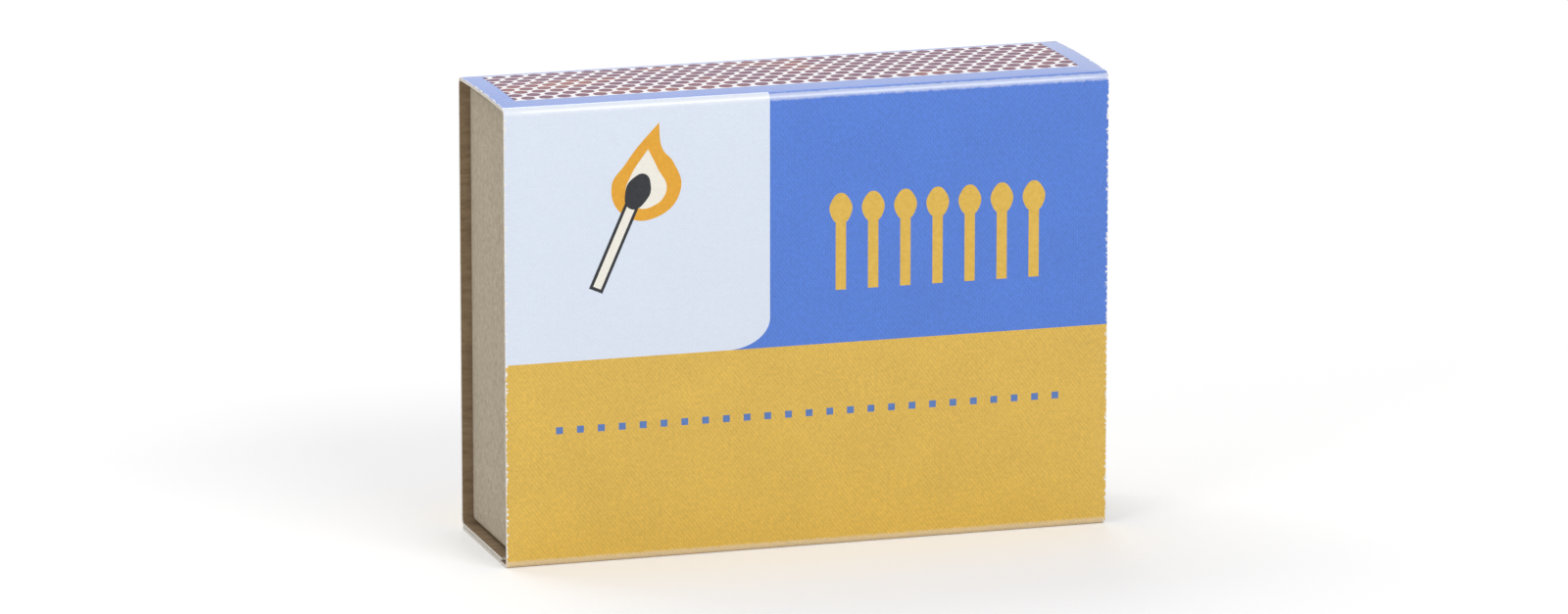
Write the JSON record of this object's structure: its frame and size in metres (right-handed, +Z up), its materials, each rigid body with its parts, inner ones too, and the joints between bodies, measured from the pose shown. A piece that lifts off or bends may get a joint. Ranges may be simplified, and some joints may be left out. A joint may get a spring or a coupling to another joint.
{
  "type": "matchbox",
  "caption": "Household matchbox: a printed card sleeve with a striking strip on each long side, a grey board drawer that slides out of either end, and the wooden matches standing in it.",
  "frame": {"origin": "on the ground, under the middle of the box as it stands on its lower striking side", "axes": "+X along the sleeve, the way the drawer slides; -Y out of the label; +Z up, out of the upper striking side"},
  "size_m": [0.08, 0.0218, 0.0597],
  "materials": {
    "printed_card": "printed card with a satin varnish: white, blue and gold fields outside, brown kraft inside",
    "grey_board": "plain grey-brown recycled board, matt",
    "aspen_match": "pale aspen splint with a red-brown dipped head"
  },
  "bodies": {
    "sleeve": {"sleeve": "printed_card"},
    "drawer": {"drawer": "grey_board", "match_bundle": "aspen_match", "match_front_01": "aspen_match", "match_front_02": "aspen_match", "match_front_03": "aspen_match", "match_front_04": "aspen_match", "match_front_05": "aspen_match", "match_front_06": "aspen_match", "match_front_07": "aspen_match", "match_front_08": "aspen_match", "match_front_09": "aspen_match", "match_front_10": "aspen_match", "match_front_11": "aspen_match", "match_front_12": "aspen_match", "match_front_13": "aspen_match", "match_front_14": "aspen_match", "match_front_15": "aspen_match", "match_front_16": "aspen_match", "match_front_17": "aspen_match", "match_front_18": "aspen_match", "match_front_19": "aspen_match", "match_front_20": "aspen_match", "match_front_21": "aspen_match", "match_front_22": "aspen_match", "match_front_23": "aspen_match", "match_front_24": "aspen_match", "match_front_25": "aspen_match", "match_front_26": "aspen_match", "match_front_27": "aspen_match", "match_front_28": "aspen_match", "match_second_01": "aspen_match", "match_second_02": "aspen_match", "match_second_03": "aspen_match", "match_second_04": "aspen_match", "match_second_05": "aspen_match", "match_second_06": "aspen_match", "match_second_07": "aspen_match", "match_second_08": "aspen_match", "match_second_09": "aspen_match", "match_second_10": "aspen_match", "match_second_11": "aspen_match", "match_second_12": "aspen_match", "match_second_13": "aspen_match", "match_second_14": "aspen_match", "match_second_15": "aspen_match", "match_second_16": "aspen_match", "match_second_17": "aspen_match", "match_second_18": "aspen_match", "match_second_19": "aspen_match", "match_second_20": "aspen_match", "match_second_21": "aspen_match", "match_second_22": "aspen_match", "match_second_23": "aspen_match", "match_second_24": "aspen_match", "match_second_25": "aspen_match", "match_second_26": "aspen_match", "match_second_27": "aspen_match"}
  },
  "joints": [
    {"name": "drawer_slide", "type": "slide", "parent": "sleeve", "child": "drawer", "axis": [1, 0, 0], "range_m": [-0.06, 0.06]}
  ]
}
